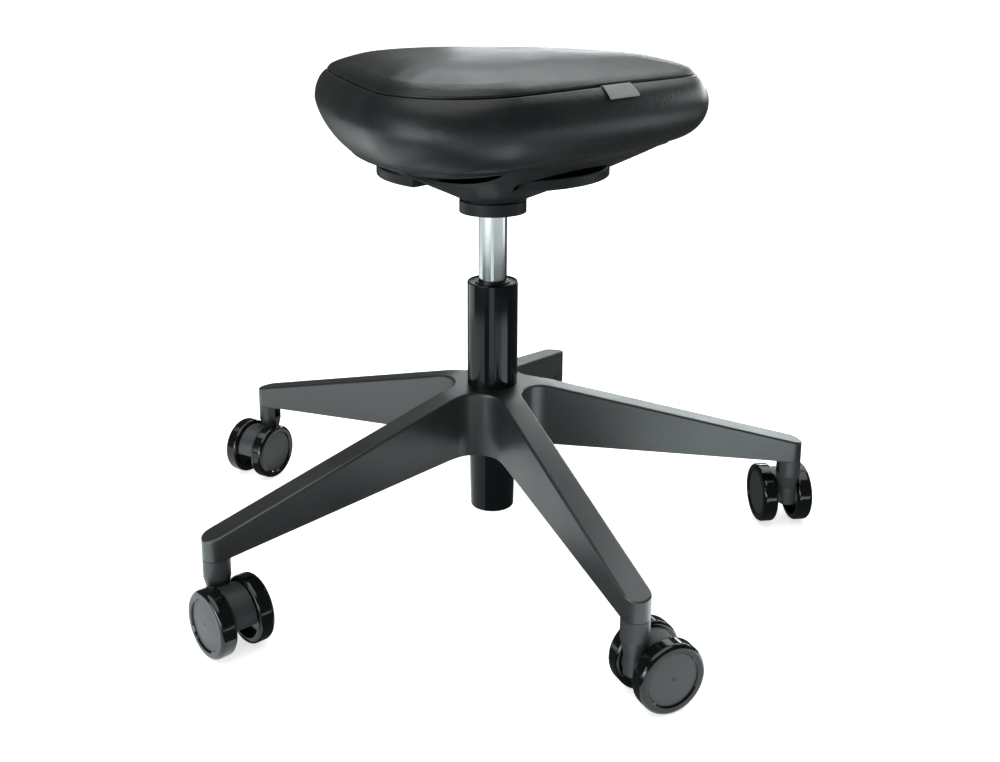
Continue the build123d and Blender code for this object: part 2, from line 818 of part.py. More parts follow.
with BuildPart() as wheel_cap:
    with BuildSketch():
        with BuildLine():
            cap_top = cap_seat + cap_thickness + cap_dome
            Polyline((0, cap_top), (0, cap_seat), (cap_radius, cap_seat), (cap_radius, cap_top - cap_dome))
            TangentArc((0, cap_top), (cap_radius, cap_top - cap_dome), tangent=(1, 0))
        make_face()
    revolve(axis=Axis.Y)

# Stems pressed into the arm tips
with BuildPart() as caster_stems:
    with Locations((0, 0, stem_bottom_z)):
        with PolarLocations(swivel_circle_radius, arm_count, start_angle=first_arm_angle):
            Cylinder(
                stem_radius,
                arm_tip_bottom_z + stem_grip - stem_bottom_z,
                align=(Align.CENTER, Align.CENTER, Align.MIN),
            )

os.makedirs("parts", exist_ok=True)


def save(piece, node):
    """Label one piece and write its STEP file."""
    piece.label = node
    export_step(piece, f"parts/{node}.step")


# Pieces made once
save(star_base.part, "star_base")
save(caster_stems.part, "caster_stems")
save(stand_tube.part, "stand_tube")
save(guide_bush.part, "guide_bush")
save(bearing_lower_washer.part, "bearing_lower_washer")
save(bearing_balls.part, "bearing_balls")
save(bearing_upper_washer.part, "bearing_upper_washer")
save(piston_rod.part, "piston_rod")
save(piston.part, "piston")
save(rubber_buffer.part, "rubber_buffer")
save(retaining_clip.part, "retaining_clip")
save(pressure_cylinder.part, "pressure_cylinder")
save(cylinder_gland.part, "cylinder_gland")
save(release_pin.part, "release_pin")
save(taper_socket.part, "taper_socket")
save(seat_housing.part, "seat_housing")
save(release_ring.part, "release_ring")
save(release_rocker.part, "release_rocker")
save(rocker_pin.part, "rocker_pin")
save(seat_pan.part, "seat_pan")
save(pan_screws.part, "pan_screws")
save(seat_board.part, "seat_board")
save(foam_core.part, "foam_core")
save(side_band.part, "side_band")
save(top_panel.part, "top_panel")

# Five casters, each turned so that its wheels trail to the same side of their arm
left_wheel_place = Pos(caster_trail, wheel_inner_y, wheel_radius)
right_wheel_place = Pos(caster_trail, -wheel_inner_y, wheel_radius) * Rot(0, 0, 180)
for index in range(arm_count):
    arm_angle = first_arm_angle + index * 360 / arm_count
    arm_tip = Vector(swivel_circle_radius, 0).rotate(Axis.Z, arm_angle)
    place = Pos(arm_tip.X, arm_tip.Y, 0) * Rot(0, 0, arm_angle + caster_turn)
    name = f"caster_{index + 1}"
    save(caster_body.part.moved(place), f"{name}_body")
    save(caster_axle.part.moved(place), f"{name}_axle")
    save(wheel.part.moved(place * left_wheel_place), f"{name}_wheel_left")
    save(wheel_cap.part.moved(place * left_wheel_place), f"{name}_cap_left")
    save(wheel.part.moved(place * right_wheel_place), f"{name}_wheel_right")
    save(wheel_cap.part.moved(place * right_wheel_place), f"{name}_cap_right")
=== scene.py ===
"""Ergonomic stool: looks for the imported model. Metres, the same frame as the part."""
import json
import math

import bpy
import numpy as np
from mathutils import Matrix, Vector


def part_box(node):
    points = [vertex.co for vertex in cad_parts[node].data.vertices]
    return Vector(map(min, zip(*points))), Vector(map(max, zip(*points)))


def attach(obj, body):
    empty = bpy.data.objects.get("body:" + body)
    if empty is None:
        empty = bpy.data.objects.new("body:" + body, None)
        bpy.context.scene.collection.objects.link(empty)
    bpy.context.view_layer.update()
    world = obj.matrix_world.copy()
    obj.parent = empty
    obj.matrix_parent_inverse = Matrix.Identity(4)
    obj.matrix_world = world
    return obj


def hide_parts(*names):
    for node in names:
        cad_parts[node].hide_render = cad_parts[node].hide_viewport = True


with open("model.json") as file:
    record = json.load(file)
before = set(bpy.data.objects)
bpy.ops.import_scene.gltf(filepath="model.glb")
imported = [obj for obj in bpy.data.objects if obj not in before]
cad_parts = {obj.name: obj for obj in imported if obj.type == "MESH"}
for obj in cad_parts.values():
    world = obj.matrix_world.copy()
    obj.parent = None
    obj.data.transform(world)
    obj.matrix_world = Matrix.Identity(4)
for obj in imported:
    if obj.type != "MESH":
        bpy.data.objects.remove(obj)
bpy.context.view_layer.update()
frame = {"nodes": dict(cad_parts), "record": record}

# Seat, in metres: outlines as corner reach, side reach and corner round, and the heights they lie at
NOSE_ANGLE = math.radians(272)
RAKE = math.radians(1.8)
RAKE_HEADING = math.radians(60)
FOOT_OUTLINE = (0.178, 0.132, 0.060)
SEAM_OUTLINE = (0.203, 0.147, 0.080)
COLLAR_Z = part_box("seat_housing")[0][2]
FOOT_Z = COLLAR_Z + 0.0641
SEAM_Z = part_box("side_band")[1][2]
CROWN_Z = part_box("top_panel")[1][2]
SEAM_LIFT = 0.002
BULGE_DROP = 0.030
BULGE_SWELL = 0.015
BULGE_SHARE = 0.55
LEAN = math.radians(50)
SLIM_POWER = 1.5
FULL_MIDDLE = 0.75
FULL_SWING = 0.35
SHOULDER_RISE = 0.0085
SHOULDER_WIDTH = 0.019

# Cushion mesh: rows crowd towards the seam
COLUMNS = 360
SIDE_ROWS = 50
CROWN_ROWS = 60
SIDE_CROWDING = 3.0
CROWN_CROWDING = 4.0

# Cushion cover: sewn seam and the air that fills it
SEAM_DEPTH = 0.0024
SEAM_WIDTH = 0.0010
TUCK_DEPTH = 0.0007
TUCK_WIDTH = 0.007
SIM_VOXEL = 0.005
SIM_FRAMES = 20
SIM_PRESSURE = 4.0
SIM_SHRINK = 0.002
SIM_CAP = 0.008
PIN_REACH = 0.007
FOOT_HOLD = 0.012
SMOOTH_ROUNDS = 12

# Blank tab that hangs from the seam, as angles from the nose and lengths
TAB_FROM = math.radians(51)
TAB_TO = math.radians(66)
TAB_DROP = 0.019
TAB_THICKNESS = 0.0008
TAB_FLARE = 0.0016
TAB_ASPECT = 2

# Range of a noise texture that a colour or a roughness is spread over
NOISE_LOW = 0.3
NOISE_HIGH = 0.7

# Stage: light that the pale floor and its reflectors give off by themselves, and lengths
FLOOR_GLOW = 0.70
ARC_GLOW = 0.55
ARC_STEPS = 48
FLOOR_SPAN = 40.0
FLOOR_GAP = 0.0002
WALL_SPAN = 39.0
NEUTRAL_WHITE = (1, 1, 1, 1)
COOL_WHITE = (0.82, 0.98, 1, 1)

# Light: colour of the softboxes, and the daylight overhead
SOFTBOX_COLOUR = (0.93, 1.0, 1.0)
SEAT_MIDDLE = (0.0, 0.0, 0.35)
OVERHEAD_POWER = 2.2
OVERHEAD_SPREAD = math.radians(70)
OVERHEAD_TILT = (math.radians(8), math.radians(-6), 0)
STUDIO_GLOW = 0.08

# Camera, from the fit of the photo's casters, base and column
LENS_PIXELS = 1162.26
PHOTO_SIZE = (1000, 762)
PHOTO_CENTRE = (479.18, 237.33)
CAMERA_DISTANCE = 1.10444
CAMERA_HEIGHT = 0.56998
CAMERA_PITCH = math.radians(13.05)
CAMERA_AZIMUTH = math.radians(14.56)
CAMERA_YAW = math.radians(0.69)
SENSOR_WIDTH = 36.0
NEAR_CLIP = 0.05


# Materials

def new_material(name):
    """A new material with its node tree and its shader."""
    material = bpy.data.materials.new(name)
    material.use_nodes = True
    tree = material.node_tree
    shader = tree.nodes["Principled BSDF"]
    return material, tree, shader


def noise(tree, scale, detail=4.0, roughness=0.55):
    """Noise on Object coordinates, in features per metre."""
    place = tree.nodes.new("ShaderNodeTexCoord")
    texture = tree.nodes.new("ShaderNodeTexNoise")
    texture.inputs["Scale"].default_value = scale
    texture.inputs["Detail"].default_value = detail
    texture.inputs["Roughness"].default_value = roughness
    tree.links.new(place.outputs["Object"], texture.inputs["Vector"])
    return texture.outputs["Fac"]


def cells(tree, scale):
    """Distance to the edge of Voronoi cells on Object coordinates, in cells per metre."""
    place = tree.nodes.new("ShaderNodeTexCoord")
    texture = tree.nodes.new("ShaderNodeTexVoronoi")
    texture.feature = "DISTANCE_TO_EDGE"
    texture.inputs["Scale"].default_value = scale
    tree.links.new(place.outputs["Object"], texture.inputs["Vector"])
    return texture.outputs["Distance"]


def spread(tree, value, low, high):
    """Maps a noise value to the range from low to high."""
    remap = tree.nodes.new("ShaderNodeMapRange")
    remap.inputs["From Min"].default_value = NOISE_LOW
    remap.inputs["From Max"].default_value = NOISE_HIGH
    remap.inputs["To Min"].default_value = low
    remap.inputs["To Max"].default_value = high
    tree.links.new(value, remap.inputs["Value"])
    return remap.outputs["Result"]


def tint(tree, value, dark, light):
    """Colour that runs from dark to light as a noise value rises."""
    ramp = tree.nodes.new("ShaderNodeValToRGB")
    ramp.color_ramp.elements[0].position = NOISE_LOW
    ramp.color_ramp.elements[0].color = (*dark, 1)
    ramp.color_ramp.elements[1].position = NOISE_HIGH
    ramp.color_ramp.elements[1].color = (*light, 1)
    tree.links.new(value, ramp.inputs["Fac"])
    return ramp.outputs["Color"]


def bump(tree, shader, height, strength, distance, under=None):
    """Adds a bump of the given depth in metres under the shader's normal."""
    node = tree.nodes.new("ShaderNodeBump")
    node.inputs["Strength"].default_value = strength
    node.inputs["Distance"].default_value = distance
    tree.links.new(height, node.inputs["Height"])
    if under is not None:
        tree.links.new(under, node.inputs["Normal"])
    tree.links.new(node.outputs["Normal"], shader.inputs["Normal"])
    return node.outputs["Normal"]


def leather():
    """Black leather: fine pebbled grain, faint mottling and a soft sheen."""
    material, tree, shader = new_material("black_leather")
    mottle = noise(tree, 28.0, 3.0)
    grain = cells(tree, 900.0)
    pores = noise(tree, 1500.0, 2.0)
    tone = tint(tree, mottle, (0.0058, 0.0072, 0.0080), (0.0098, 0.0114, 0.0122))
    tree.links.new(tone, shader.inputs["Base Color"])
    tree.links.new(spread(tree, mottle, 0.31, 0.38), shader.inputs["Roughness"])
    shader.inputs["Specular IOR Level"].default_value = 0.31
    creases = noise(tree, 210.0, 6.0, 0.62)
    first = bump(tree, shader, grain, 0.30, 0.0003)
    second = bump(tree, shader, pores, 0.06, 0.0002, first)
    bump(tree, shader, creases, 0.40, 0.0007, second)
    return material


def powder_coat():
    """Satin dark grey coat of the base: fine orange peel and slightly uneven gloss."""
    material, tree, shader = new_material("base_powder_coat")
    cloud = noise(tree, 18.0, 3.0)
    peel = noise(tree, 1400.0, 2.0)
    tone = tint(tree, cloud, (0.009, 0.0108, 0.0118), (0.013, 0.0152, 0.0162))
    tree.links.new(tone, shader.inputs["Base Color"])
    tree.links.new(spread(tree, cloud, 0.33, 0.40), shader.inputs["Roughness"])
    shader.inputs["Specular IOR Level"].default_value = 0.75
    shader.inputs["Coat Weight"].default_value = 0.1
    shader.inputs["Coat Roughness"].default_value = 0.32
    bump(tree, shader, peel, 0.10, 0.0002)
    return material


def gloss_lacquer():
    """Gloss black lacquer of the column tube, with a faint ripple."""
    material, tree, shader = new_material("column_lacquer")
    ripple = noise(tree, 120.0, 2.0)
    dust = noise(tree, 40.0, 4.0)
    tone = tint(tree, dust, (0.0022, 0.0038, 0.0044), (0.0038, 0.0058, 0.0064))
    tree.links.new(tone, shader.inputs["Base Color"])
    tree.links.new(spread(tree, dust, 0.09, 0.14), shader.inputs["Roughness"])
    shader.inputs["Specular IOR Level"].default_value = 0.25
    bump(tree, shader, ripple, 0.03, 0.0002)
    return material


def polished_chrome():
    """Polished chrome with faint polishing marks round the cylinder."""
    material, tree, shader = new_material("polished_chrome")
    place = tree.nodes.new("ShaderNodeTexCoord")
    stretch = tree.nodes.new("ShaderNodeMapping")
    stretch.inputs["Scale"].default_value = (20.0, 20.0, 2600.0)
    marks = tree.nodes.new("ShaderNodeTexNoise")
    marks.inputs["Scale"].default_value = 1.0
    tree.links.new(place.outputs["Object"], stretch.inputs["Vector"])
    tree.links.new(stretch.outputs["Vector"], marks.inputs["Vector"])
    shader.inputs["Metallic"].default_value = 1.0
    shader.inputs["Base Color"].default_value = (0.37, 0.385, 0.39, 1)
    tree.links.new(spread(tree, marks.outputs["Fac"], 0.12, 0.18), shader.inputs["Roughness"])
    return material


def turned_steel():
    """Bare machined steel for pins, washers and the rod."""
    material, tree, shader = new_material("turned_steel")
    marks = noise(tree, 500.0, 3.0)
    shader.inputs["Metallic"].default_value = 1.0
    tree.links.new(tint(tree, marks, (0.42, 0.42, 0.43), (0.52, 0.52, 0.53)), shader.inputs["Base Color"])
    tree.links.new(spread(tree, marks, 0.28, 0.38), shader.inputs["Roughness"])
    return material


def moulded_plastic(name, dark, light, roughness, texture_scale, texture_strength, gloss=0.5):
    """Moulded plastic: spark-eroded texture, slight clouding in colour and gloss."""
    material, tree, shader = new_material(name)
    cloud = noise(tree, 30.0, 3.0)
    texture = noise(tree, texture_scale, 3.0)
    tree.links.new(tint(tree, cloud, dark, light), shader.inputs["Base Color"])
    tree.links.new(spread(tree, cloud, *roughness), shader.inputs["Roughness"])
    shader.inputs["Specular IOR Level"].default_value = gloss
    bump(tree, shader, texture, texture_strength, 0.00015)
    return material


def raw_plywood():
    """Plywood edge and face: stretched fibre bands."""
    material, tree, shader = new_material("raw_plywood")
    place = tree.nodes.new("ShaderNodeTexCoord")
    stretch = tree.nodes.new("ShaderNodeMapping")
    stretch.inputs["Scale"].default_value = (12.0, 160.0, 900.0)
    fibre = tree.nodes.new("ShaderNodeTexNoise")
    fibre.inputs["Scale"].default_value = 1.0
    tree.links.new(place.outputs["Object"], stretch.inputs["Vector"])
    tree.links.new(stretch.outputs["Vector"], fibre.inputs["Vector"])
    tone = tint(tree, fibre.outputs["Fac"], (0.36, 0.25, 0.15), (0.58, 0.44, 0.29))
    tree.links.new(tone, shader.inputs["Base Color"])
    shader.inputs["Roughness"].default_value = 0.7
    return material


def woven_tab():
    """Grey woven ribbon of the blank tab: a fine plain weave."""
    material, tree, shader = new_material("tab_weave")
    place = tree.nodes.new("ShaderNodeTexCoord")
    checks = tree.nodes.new("ShaderNodeTexChecker")
    checks.inputs["Scale"].default_value = 60.0
    checks.inputs["Color1"].default_value = (0.20, 0.205, 0.21, 1)
    checks.inputs["Color2"].default_value = (0.26, 0.265, 0.27, 1)
    tree.links.new(place.outputs["UV"], checks.inputs["Vector"])
    tree.links.new(checks.outputs["Color"], shader.inputs["Base Color"])
    shader.inputs["Roughness"].default_value = 0.6
    bump(tree, shader, checks.outputs["Fac"], 0.3, 0.0001)
    return material


finishes = {
    "base_coat": powder_coat(),
    "column_black": gloss_lacquer(),
    "chrome": polished_chrome(),
    "steel": turned_steel(),
    "housing_grey": moulded_plastic(
        "housing_plastic", (0.009, 0.0108, 0.0118), (0.013, 0.0152, 0.0162), (0.34, 0.42), 1800.0, 0.12, 0.10
    ),
    "bush_black": moulded_plastic(
        "bush_plastic", (0.012, 0.012, 0.012), (0.02, 0.02, 0.02), (0.4, 0.5), 1500.0, 0.1
    ),
    "tread_black": moulded_plastic(
        "tread_plastic", (0.002, 0.0026, 0.0030), (0.0034, 0.0042, 0.0046), (0.07, 0.12), 900.0, 0.02, 0.45
    ),
    "caster_grey": moulded_plastic(
        "caster_plastic", (0.022, 0.0252, 0.0268), (0.028, 0.0316, 0.0332), (0.38, 0.46), 1800.0, 0.12
    ),
    "rubber": moulded_plastic(
        "buffer_rubber", (0.012, 0.012, 0.012), (0.02, 0.02, 0.02), (0.65, 0.75), 700.0, 0.2
    ),
    "board": raw_plywood(),
    "leather": leather(),
}
slot_of = {entry["node"]: entry["material_slot"] for entry in frame["record"]["subparts"]}
for node, piece in frame["nodes"].items():
    finish = finishes.get(slot_of[node], finishes["rubber"])
    piece.data.materials.clear()
    piece.data.materials.append(finish)


# Cushion

def reach(angle, outline):
    """Distance from the axis to a rounded triangle at each angle from its nose.

    The outline has three corner arcs and three side arcs, each tangent to its neighbours. Near a corner the
    distance is where a ray meets the corner's circle, and elsewhere where it meets the wide circle of the side.
    """
    corner, side, rounding = outline
    corner_centre = corner - rounding
    depth = side - rounding
    side_centre = (corner_centre**2 - depth**2) / (2 * depth - corner_centre)
    side_radius = side + side_centre
    away = np.array([-side_centre / 2, -side_centre * math.sqrt(3) / 2])
    toward = np.array([corner_centre, 0.0]) - away
    touch = away + toward / np.linalg.norm(toward) * side_radius
    turn = 2 * math.pi / 3
    local = np.abs((angle + turn / 2) % turn - turn / 2)
    beside = local - turn / 2
    on_corner = corner_centre * np.cos(local) + np.sqrt(
        np.maximum(rounding**2 - (corner_centre * np.sin(local)) ** 2, 0)
    )
    on_side = -side_centre * np.cos(beside) + np.sqrt(side_radius**2 - (side_centre * np.sin(beside)) ** 2)
    return np.where(local < math.atan2(touch[1], touch[0]), on_corner, on_side)


def foot_height(radius, angle):
    """Height of the raked pan at a distance from the axis and an angle from the nose."""
    return FOOT_Z + radius * np.cos(angle - RAKE_HEADING) * math.tan(RAKE)


def crowd(count, strength):
    """Shares from 0 to 1 that lie closer together near 0, by an exponential."""
    return np.expm1(strength * np.linspace(0, 1, count)) / math.expm1(strength)


def cushion_points(inset=0.0):
    """Grid of the cushion: rows from the pan's edge up to the seam, then over the crown to its middle.

    The side is two arcs that meet upright at the bulge. The lower one is a mix of a power of a sine and a
    quarter ellipse, and the ellipse's share grows towards the tab's side, which is fuller. The upper one is
    part of an ellipse that leans in to the seam. A crown row is the seam's outline shrunk towards the axis.
    Its height is a short parabola for the rolled shoulder plus a wide one for the dome.
    """
    angle = np.linspace(0, 2 * math.pi, COLUMNS, endpoint=False)
    foot = reach(angle, FOOT_OUTLINE) - inset
    seam = reach(angle, SEAM_OUTLINE) - inset
    bulge = seam + BULGE_SWELL
    foot_z = foot_height(foot, angle)
    seam_z = SEAM_Z + SEAM_LIFT * (1 - np.cos(3 * angle)) / 2
    bulge_z = seam_z - BULGE_DROP
    climb = 1 - crowd(SIDE_ROWS, SIDE_CROWDING)[::-1, None]
    below = math.pi / 2 * np.clip(1 - climb / BULGE_SHARE, 0, 1)
    above = LEAN * np.clip((climb - BULGE_SHARE) / (1 - BULGE_SHARE), 0, 1)
    full = np.clip(FULL_MIDDLE + FULL_SWING * np.cos(angle - RAKE_HEADING), 0, 1)
    draw_in = (1 - full) * np.sin(below) ** SLIM_POWER + full * (1 - np.cos(below))
    lean_in = (1 - np.cos(above)) / (1 - math.cos(LEAN))
    side_r = bulge - (bulge - foot) * draw_in - (bulge - seam) * lean_in
    side_z = bulge_z - (bulge_z - foot_z) * np.sin(below) + BULGE_DROP * np.sin(above) / math.sin(LEAN)
    share = 1 - crowd(CROWN_ROWS + 1, CROWN_CROWDING)[1:, None]
    crown_r = seam * share
    shoulder = 1 - (1 - np.clip((seam - crown_r) / SHOULDER_WIDTH, 0, 1)) ** 2
    dome = CROWN_Z - inset - seam_z - SHOULDER_RISE
    crown_z = seam_z + SHOULDER_RISE * shoulder + dome * (1 - share**2)
    radius = np.vstack([side_r, crown_r])
    height = np.vstack([side_z, crown_z])
    heading = angle + NOSE_ANGLE
    return np.stack([radius * np.cos(heading), radius * np.sin(heading), height], axis=-1)


def placed(name, data):
    """A new object that holds the given data, in the scene."""
    piece = bpy.data.objects.new(name, data)
    bpy.context.scene.collection.objects.link(piece)
    return piece


def grid_mesh(name, points):
    """Closed mesh of a grid whose columns go round: quads between rows and a fan at each end."""
    rows, columns = points.shape[:2]
    index = np.arange((rows - 1) * columns).reshape(rows - 1, columns)
    beside = np.roll(index, -1, axis=1)
    quads = np.stack([index[:-1], beside[:-1], beside[1:], index[1:]], axis=-1).reshape(-1, 4)
    top = np.full(columns, (rows - 1) * columns)
    top_fan = np.stack([index[-1], beside[-1], top], axis=-1)
    bottom_fan = np.stack([beside[0], index[0], top + 1], axis=-1)
    vertices = np.vstack([points[:-1].reshape(-1, 3), points[-1, :1], points[:1].mean(axis=1)])
    mesh = bpy.data.meshes.new(name)
    mesh.from_pydata(vertices.tolist(), [], quads.tolist() + top_fan.tolist() + bottom_fan.tolist())
    mesh.shade_smooth()
    return placed(name, mesh)


def read_points(mesh):
    """A mesh's vertices as an array of rows of three."""
    flat = np.empty(len(mesh.vertices) * 3)
    mesh.vertices.foreach_get("co", flat)
    return flat.reshape(-1, 3)


def write_points(mesh, points):
    """Moves a mesh's vertices to the rows of an array."""
    mesh.vertices.foreach_set("co", np.ascontiguousarray(points, dtype=np.float32).ravel())
    mesh.update()


def finished_mesh(piece):
    """A piece's mesh with its modifiers applied."""
    return bpy.data.meshes.new_from_object(piece.evaluated_get(bpy.context.evaluated_depsgraph_get()))


def run_along(grid):
    """Length along each column of a grid, from its first row."""
    step = np.linalg.norm(np.diff(grid, axis=0), axis=-1)
    return np.vstack([np.zeros((1, grid.shape[1])), np.cumsum(step, axis=0)])


def smooth(field):
    """Averages a grid's field with its neighbours round the columns and along the rows, several times."""
    for _ in range(SMOOTH_ROUNDS):
        field = (np.roll(field, 1, axis=1) + 2 * field + np.roll(field, -1, axis=1)) / 4
        field[1:-1] = (field[:-2] + 2 * field[1:-1] + field[2:]) / 4
    return field


def inflate(grid):
    """Cushion cover blown up against its sewn seam and its fixed foot, by a cloth simulation.

    A smaller copy of the cushion is remeshed, pinned along the seam and the foot, and swells under air
    pressure. No point moves further than the cap. The grid is then wrapped onto the swollen cover, and its
    moves are smoothed and fade to none at the foot, by a smooth step of the length from it.
    """
    cover = grid_mesh("cover", cushion_points(SIM_SHRINK))
    remesh = cover.modifiers.new("remesh", "REMESH")
    remesh.mode = "VOXEL"
    remesh.voxel_size = SIM_VOXEL
    cover.data = finished_mesh(cover)
    cover.modifiers.clear()
    start = read_points(cover.data)
    angle = np.arctan2(start[:, 1], start[:, 0]) - NOSE_ANGLE
    radius = np.hypot(start[:, 0], start[:, 1])
    from_seam = np.hypot(radius - reach(angle, SEAM_OUTLINE) + SIM_SHRINK, start[:, 2] - SEAM_Z)
    above_foot = start[:, 2] - foot_height(radius, angle)
    pinned = np.flatnonzero((from_seam < PIN_REACH) | (above_foot < PIN_REACH))
    pins = cover.vertex_groups.new(name="pins")
    pins.add(pinned.tolist(), 1.0, "REPLACE")
    cloth = cover.modifiers.new("cloth", "CLOTH")
    cloth.settings.use_pressure = True
    cloth.settings.uniform_pressure_force = SIM_PRESSURE
    cloth.settings.vertex_group_mass = "pins"
    cloth.settings.effector_weights.gravity = 0
    cloth.point_cache.frame_start = 1
    cloth.point_cache.frame_end = SIM_FRAMES
    for step in range(1, SIM_FRAMES + 1):
        bpy.context.scene.frame_set(step)
    swollen = read_points(finished_mesh(cover))
    bpy.context.scene.frame_set(1)
    move = swollen - start
    length = np.linalg.norm(move, axis=1, keepdims=True)
    move *= np.minimum(1, SIM_CAP / np.maximum(length, 1e-9))
    cover.modifiers.clear()
    write_points(cover.data, start + move)
    skin = grid_mesh("skin", grid)
    wrap = skin.modifiers.new("wrap", "SHRINKWRAP")
    wrap.target = cover
    wrap.wrap_method = "NEAREST_SURFACEPOINT"
    wrapped = read_points(finished_mesh(skin))
    rows, columns = grid.shape[:2]
    result = grid.copy()
    result[:-1] = wrapped[: (rows - 1) * columns].reshape(rows - 1, columns, 3)
    result[-1] = wrapped[(rows - 1) * columns]
    bpy.data.objects.remove(skin)
    bpy.data.objects.remove(cover)
    hold = np.clip(run_along(grid) / FOOT_HOLD, 0, 1)
    return smooth(result - grid) * (hold**2 * (3 - 2 * hold))[..., None] + grid


def outward(points):
    """Unit normals of a grid, from the differences along its rows and columns."""
    across = np.roll(points, -1, axis=1) - np.roll(points, 1, axis=1)
    along = np.gradient(points, axis=0)
    normal = np.cross(across, along)
    return normal / np.maximum(np.linalg.norm(normal, axis=-1, keepdims=True), 1e-12)


def sew(points):
    """Draws the seam's row in: a narrow groove in a broader tuck, both bell curves of the distance to it."""
    run = run_along(points)
    away = run - run[SIDE_ROWS - 1]
    groove = SEAM_DEPTH * np.exp(-((away / SEAM_WIDTH) ** 2))
    tuck = TUCK_DEPTH * np.exp(-((away / TUCK_WIDTH) ** 2))
    return points - outward(points) * (groove + tuck)[..., None]


def hanging_tab(points):
    """Blank tab sewn into the seam: a strip of the cushion's side, lifted off it by the square of its fall."""
    columns = np.arange(round(TAB_FROM / math.tau * COLUMNS), round(TAB_TO / math.tau * COLUMNS) + 1)
    side = points[:SIDE_ROWS][::-1]
    fall = np.cumsum(np.linalg.norm(np.diff(side[:, columns[0]], axis=0), axis=-1))
    rows = np.flatnonzero(fall < TAB_DROP)
    lift = TAB_THICKNESS + TAB_FLARE * (fall[rows] / TAB_DROP) ** 2
    normal = outward(points)[:SIDE_ROWS][::-1]
    strip = side[rows][:, columns] + normal[rows][:, columns] * lift[:, None, None]
    high, wide = strip.shape[:2]
    index = np.arange(high * wide).reshape(high, wide)
    quads = np.stack([index[:-1, :-1], index[1:, :-1], index[1:, 1:], index[:-1, 1:]], axis=-1).reshape(-1, 4)
    mesh = bpy.data.meshes.new("side_tab")
    mesh.from_pydata(strip.reshape(-1, 3).tolist(), [], quads.tolist())
    across, down = np.meshgrid(np.linspace(0, TAB_ASPECT, wide), np.linspace(0, 1, high))
    corners = np.empty(len(mesh.loops), dtype=np.int32)
    mesh.loops.foreach_get("vertex_index", corners)
    layer = mesh.uv_layers.new(name="weave")
    places = np.stack([across.ravel(), down.ravel()], axis=-1)[corners]
    layer.data.foreach_set("uv", places.astype(np.float32).ravel())
    mesh.shade_smooth()
    piece = placed("side_tab", mesh)
    thickness = piece.modifiers.new("thickness", "SOLIDIFY")
    thickness.thickness = TAB_THICKNESS
    thickness.offset = 0
    return piece


cushion_grid = cushion_points()
cushion_grid = inflate(cushion_grid)
cushion_grid = sew(cushion_grid)
cushion = grid_mesh("cushion", cushion_grid)
cushion.data.materials.append(finishes["leather"])
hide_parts("side_band", "top_panel", "foam_core")
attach(cushion, "seat")

side_tab = hanging_tab(cushion_grid)
side_tab.data.materials.append(woven_tab())
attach(side_tab, "seat")


# Stage, light and camera

def floor(name, points, faces, glow, glow_colour):
    """Plain pale floor of the given faces, with a glow of its own."""
    mesh = bpy.data.meshes.new(name)
    mesh.from_pydata(points, [], faces)
    piece = placed(name, mesh)
    material, _, shader = new_material(name)
    shader.inputs["Base Color"].default_value = (0.92, 0.92, 0.92, 1)
    shader.inputs["Roughness"].default_value = 0.8
    shader.inputs["Specular IOR Level"].default_value = 0.1
    shader.inputs["Emission Color"].default_value = glow_colour
    shader.inputs["Emission Strength"].default_value = glow
    mesh.materials.append(material)
    return piece


def square(span):
    """Corners of a square round the axis, in order."""
    return [(-span, -span), (span, -span), (span, span), (-span, span)]


def wide_floor():
    """Square of floor that fills the view, a hair below the arcs and out of reflections."""
    corners = [(x, y, -FLOOR_GAP) for x, y in square(FLOOR_SPAN)]
    piece = floor("floor", corners, [(0, 1, 2, 3)], FLOOR_GLOW, NEUTRAL_WHITE)
    piece.visible_glossy = False


def floor_arc(name, inner, outer, start, end, glow):
    """Reflector that lies on the floor and shows in reflections alone.

    It is the part of a flat ring between two distances from the axis and two angles.
    """
    angle = np.radians(np.linspace(start, end, ARC_STEPS))
    ring = np.stack([np.cos(angle), np.sin(angle), np.zeros(ARC_STEPS)], axis=-1)
    first = np.arange(ARC_STEPS - 1)
    faces = np.stack([first, first + ARC_STEPS, first + ARC_STEPS + 1, first + 1], axis=-1)
    points = np.vstack([ring * inner, ring * outer])
    piece = floor(name, points.tolist(), faces.tolist(), glow, COOL_WHITE)
    piece.visible_camera = piece.visible_diffuse = piece.visible_shadow = False


def pale_walls():
    """Four plain walls far behind the floor, seen by the camera and out of the light and the reflections."""
    mesh = bpy.data.meshes.new("pale_walls")
    corners = [(x, y, z) for z in (0.0, WALL_SPAN) for x, y in square(WALL_SPAN)]
    mesh.from_pydata(corners, [], [(0, 1, 5, 4), (1, 2, 6, 5), (2, 3, 7, 6), (3, 0, 4, 7)])
    piece = placed("pale_walls", mesh)
    piece.visible_glossy = piece.visible_diffuse = piece.visible_shadow = False
    material, _, shader = new_material("pale_walls")
    shader.inputs["Base Color"].default_value = (0.8, 0.8, 0.8, 1)
    shader.inputs["Emission Color"].default_value = NEUTRAL_WHITE
    shader.inputs["Emission Strength"].default_value = 1.0
    mesh.materials.append(material)


def softbox(name, place, aim, size, power):
    """Rectangular area light at a place, turned to face the aim."""
    light = bpy.data.lights.new(name, "AREA")
    light.shape = "RECTANGLE"
    light.size, light.size_y = size
    light.energy = power
    light.color = SOFTBOX_COLOUR
    piece = placed(name, light)
    piece.location = place
    direction = np.subtract(aim, place)
    flat = math.hypot(direction[0], direction[1])
    piece.rotation_euler = (math.atan2(flat, -direction[2]), 0, math.atan2(-direction[0], direction[1]))


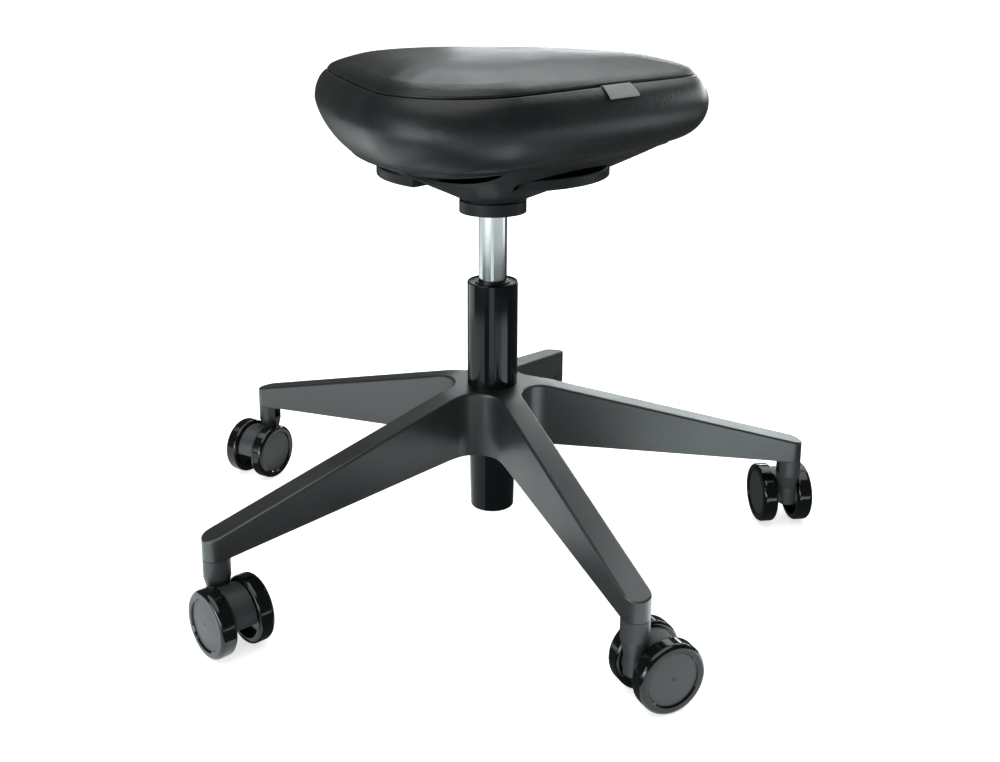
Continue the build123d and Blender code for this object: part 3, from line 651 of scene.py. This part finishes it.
def overhead_light():
    """Wide soft daylight from above."""
    daylight = bpy.data.lights.new("overhead_light", "SUN")
    daylight.energy = OVERHEAD_POWER
    daylight.angle = OVERHEAD_SPREAD
    placed("overhead_light", daylight).rotation_euler = OVERHEAD_TILT


def studio_world():
    """Dim white surroundings, shown in plain colours."""
    world = bpy.data.worlds.new("studio")
    world.use_nodes = True
    background = world.node_tree.nodes["Background"]
    background.inputs["Color"].default_value = NEUTRAL_WHITE
    background.inputs["Strength"].default_value = STUDIO_GLOW
    bpy.context.scene.world = world
    bpy.context.scene.view_settings.view_transform = "Standard"


def photo_camera():
    """Camera at the photo's place, its lens shifted so that the photo's centre falls where it was fitted."""
    lens = bpy.data.cameras.new("camera")
    lens.sensor_fit = "HORIZONTAL"
    lens.sensor_width = SENSOR_WIDTH
    lens.lens = LENS_PIXELS / PHOTO_SIZE[0] * SENSOR_WIDTH
    lens.shift_x = (PHOTO_SIZE[0] / 2 - PHOTO_CENTRE[0]) / PHOTO_SIZE[0]
    lens.shift_y = (PHOTO_CENTRE[1] - PHOTO_SIZE[1] / 2) / PHOTO_SIZE[0]
    lens.clip_start = NEAR_CLIP
    camera = placed("camera", lens)
    camera.location = (
        CAMERA_DISTANCE * math.sin(CAMERA_AZIMUTH),
        -CAMERA_DISTANCE * math.cos(CAMERA_AZIMUTH),
        CAMERA_HEIGHT,
    )
    camera.rotation_euler = (math.pi / 2 - CAMERA_PITCH, 0, CAMERA_AZIMUTH + CAMERA_YAW)
    bpy.context.scene.camera = camera


wide_floor()
pale_walls()
floor_arc("left_floor", 0.32, 0.80, -215, -165, 0.4 * ARC_GLOW)
floor_arc("near_floor", 0.30, 0.80, -165, -112, 1.4 * ARC_GLOW)
floor_arc("front_floor", 0.32, 0.80, -66, -36, 1.3 * ARC_GLOW)
floor_arc("under_floor", 0.02, 0.26, 110, 250, 0.6 * ARC_GLOW)
floor_arc("right_floor", 0.26, 0.80, -36, -5, 4 * ARC_GLOW)
floor_arc("tube_stripe_floor", 0.52, 1.20, -90, -68, 1.6 * ARC_GLOW)
floor_arc("tube_edge_floor", 0.80, 1.20, -215, -165, 2 * ARC_GLOW)
floor_arc("far_floor", 1.20, 2.60, -215, 15, ARC_GLOW)
floor_arc("right_back_floor", 1.30, 2.60, 15, 38, 3.5 * ARC_GLOW)
softbox("back_softbox", (0.3, 1.9, 2.1), SEAT_MIDDLE, (3.0, 1.4), 34.0)
softbox("back_strip", (0.5, 2.5, 0.66), (0.0, 0.0, 0.2), (2.8, 0.3), 22.0)
softbox("left_softbox", (-1.7, -1.9, 0.7), SEAT_MIDDLE, (1.4, 1.0), 16.0)
softbox("left_strip", (-0.75, -1.75, 0.24), (0.0, 0.0, 0.15), (1.6, 0.42), 14.0)
softbox("right_softbox", (2.2, 1.3, 0.9), SEAT_MIDDLE, (1.2, 1.2), 1.5)
overhead_light()
studio_world()
photo_camera()
